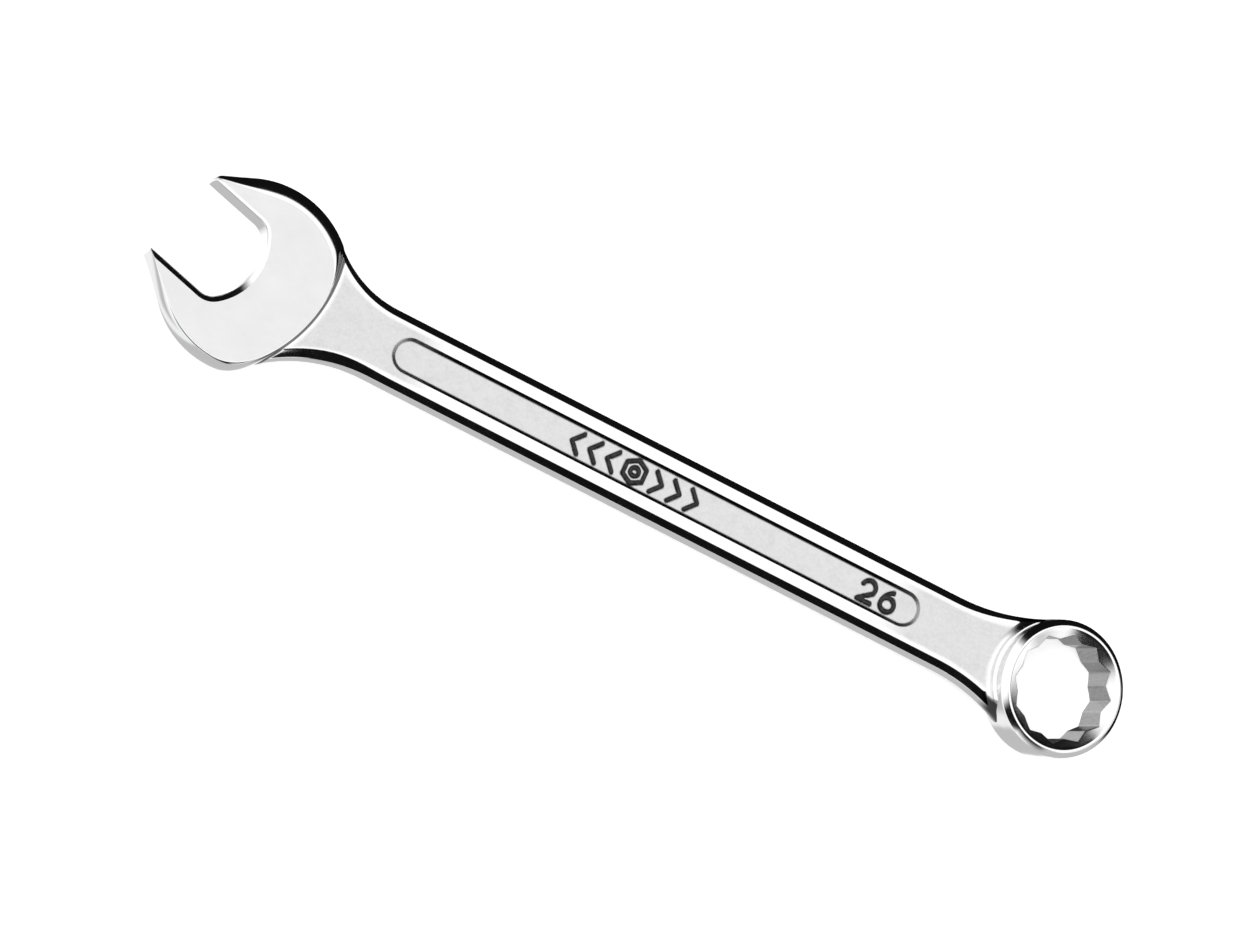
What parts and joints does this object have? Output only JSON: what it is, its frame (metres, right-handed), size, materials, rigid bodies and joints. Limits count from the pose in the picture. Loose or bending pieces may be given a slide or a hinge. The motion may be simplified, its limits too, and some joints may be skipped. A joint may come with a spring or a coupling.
{
  "type": "combination wrench",
  "caption": "Combination wrench with a slanted open-end head, a slim shank with a sunk panel on each face, and an offset ring with a twelve-point bore for turning hexagon nuts and bolts",
  "frame": {"origin": "Centre of the bounding box's footprint, at its base, on the surface that the wrench lies on", "axes": "+X runs along the shank from the open end to the ring, +Z points out of the marked face, and +Y is the side that the open end slants toward"},
  "size_m": [0.2958, 0.0548, 0.0224],
  "materials": {
    "head_steel": "ground satin faces under chrome, polished rounded sides",
    "shank_steel": "polished chrome over a forged surface, mottled satin panel floor, dark engraved marks",
    "ring_steel": "polished chrome outside, broached steel inside the bore"
  },
  "bodies": {
    "root": {"open_end_head": "head_steel", "shank": "shank_steel", "box_end_ring": "ring_steel"}
  },
  "joints": []
}
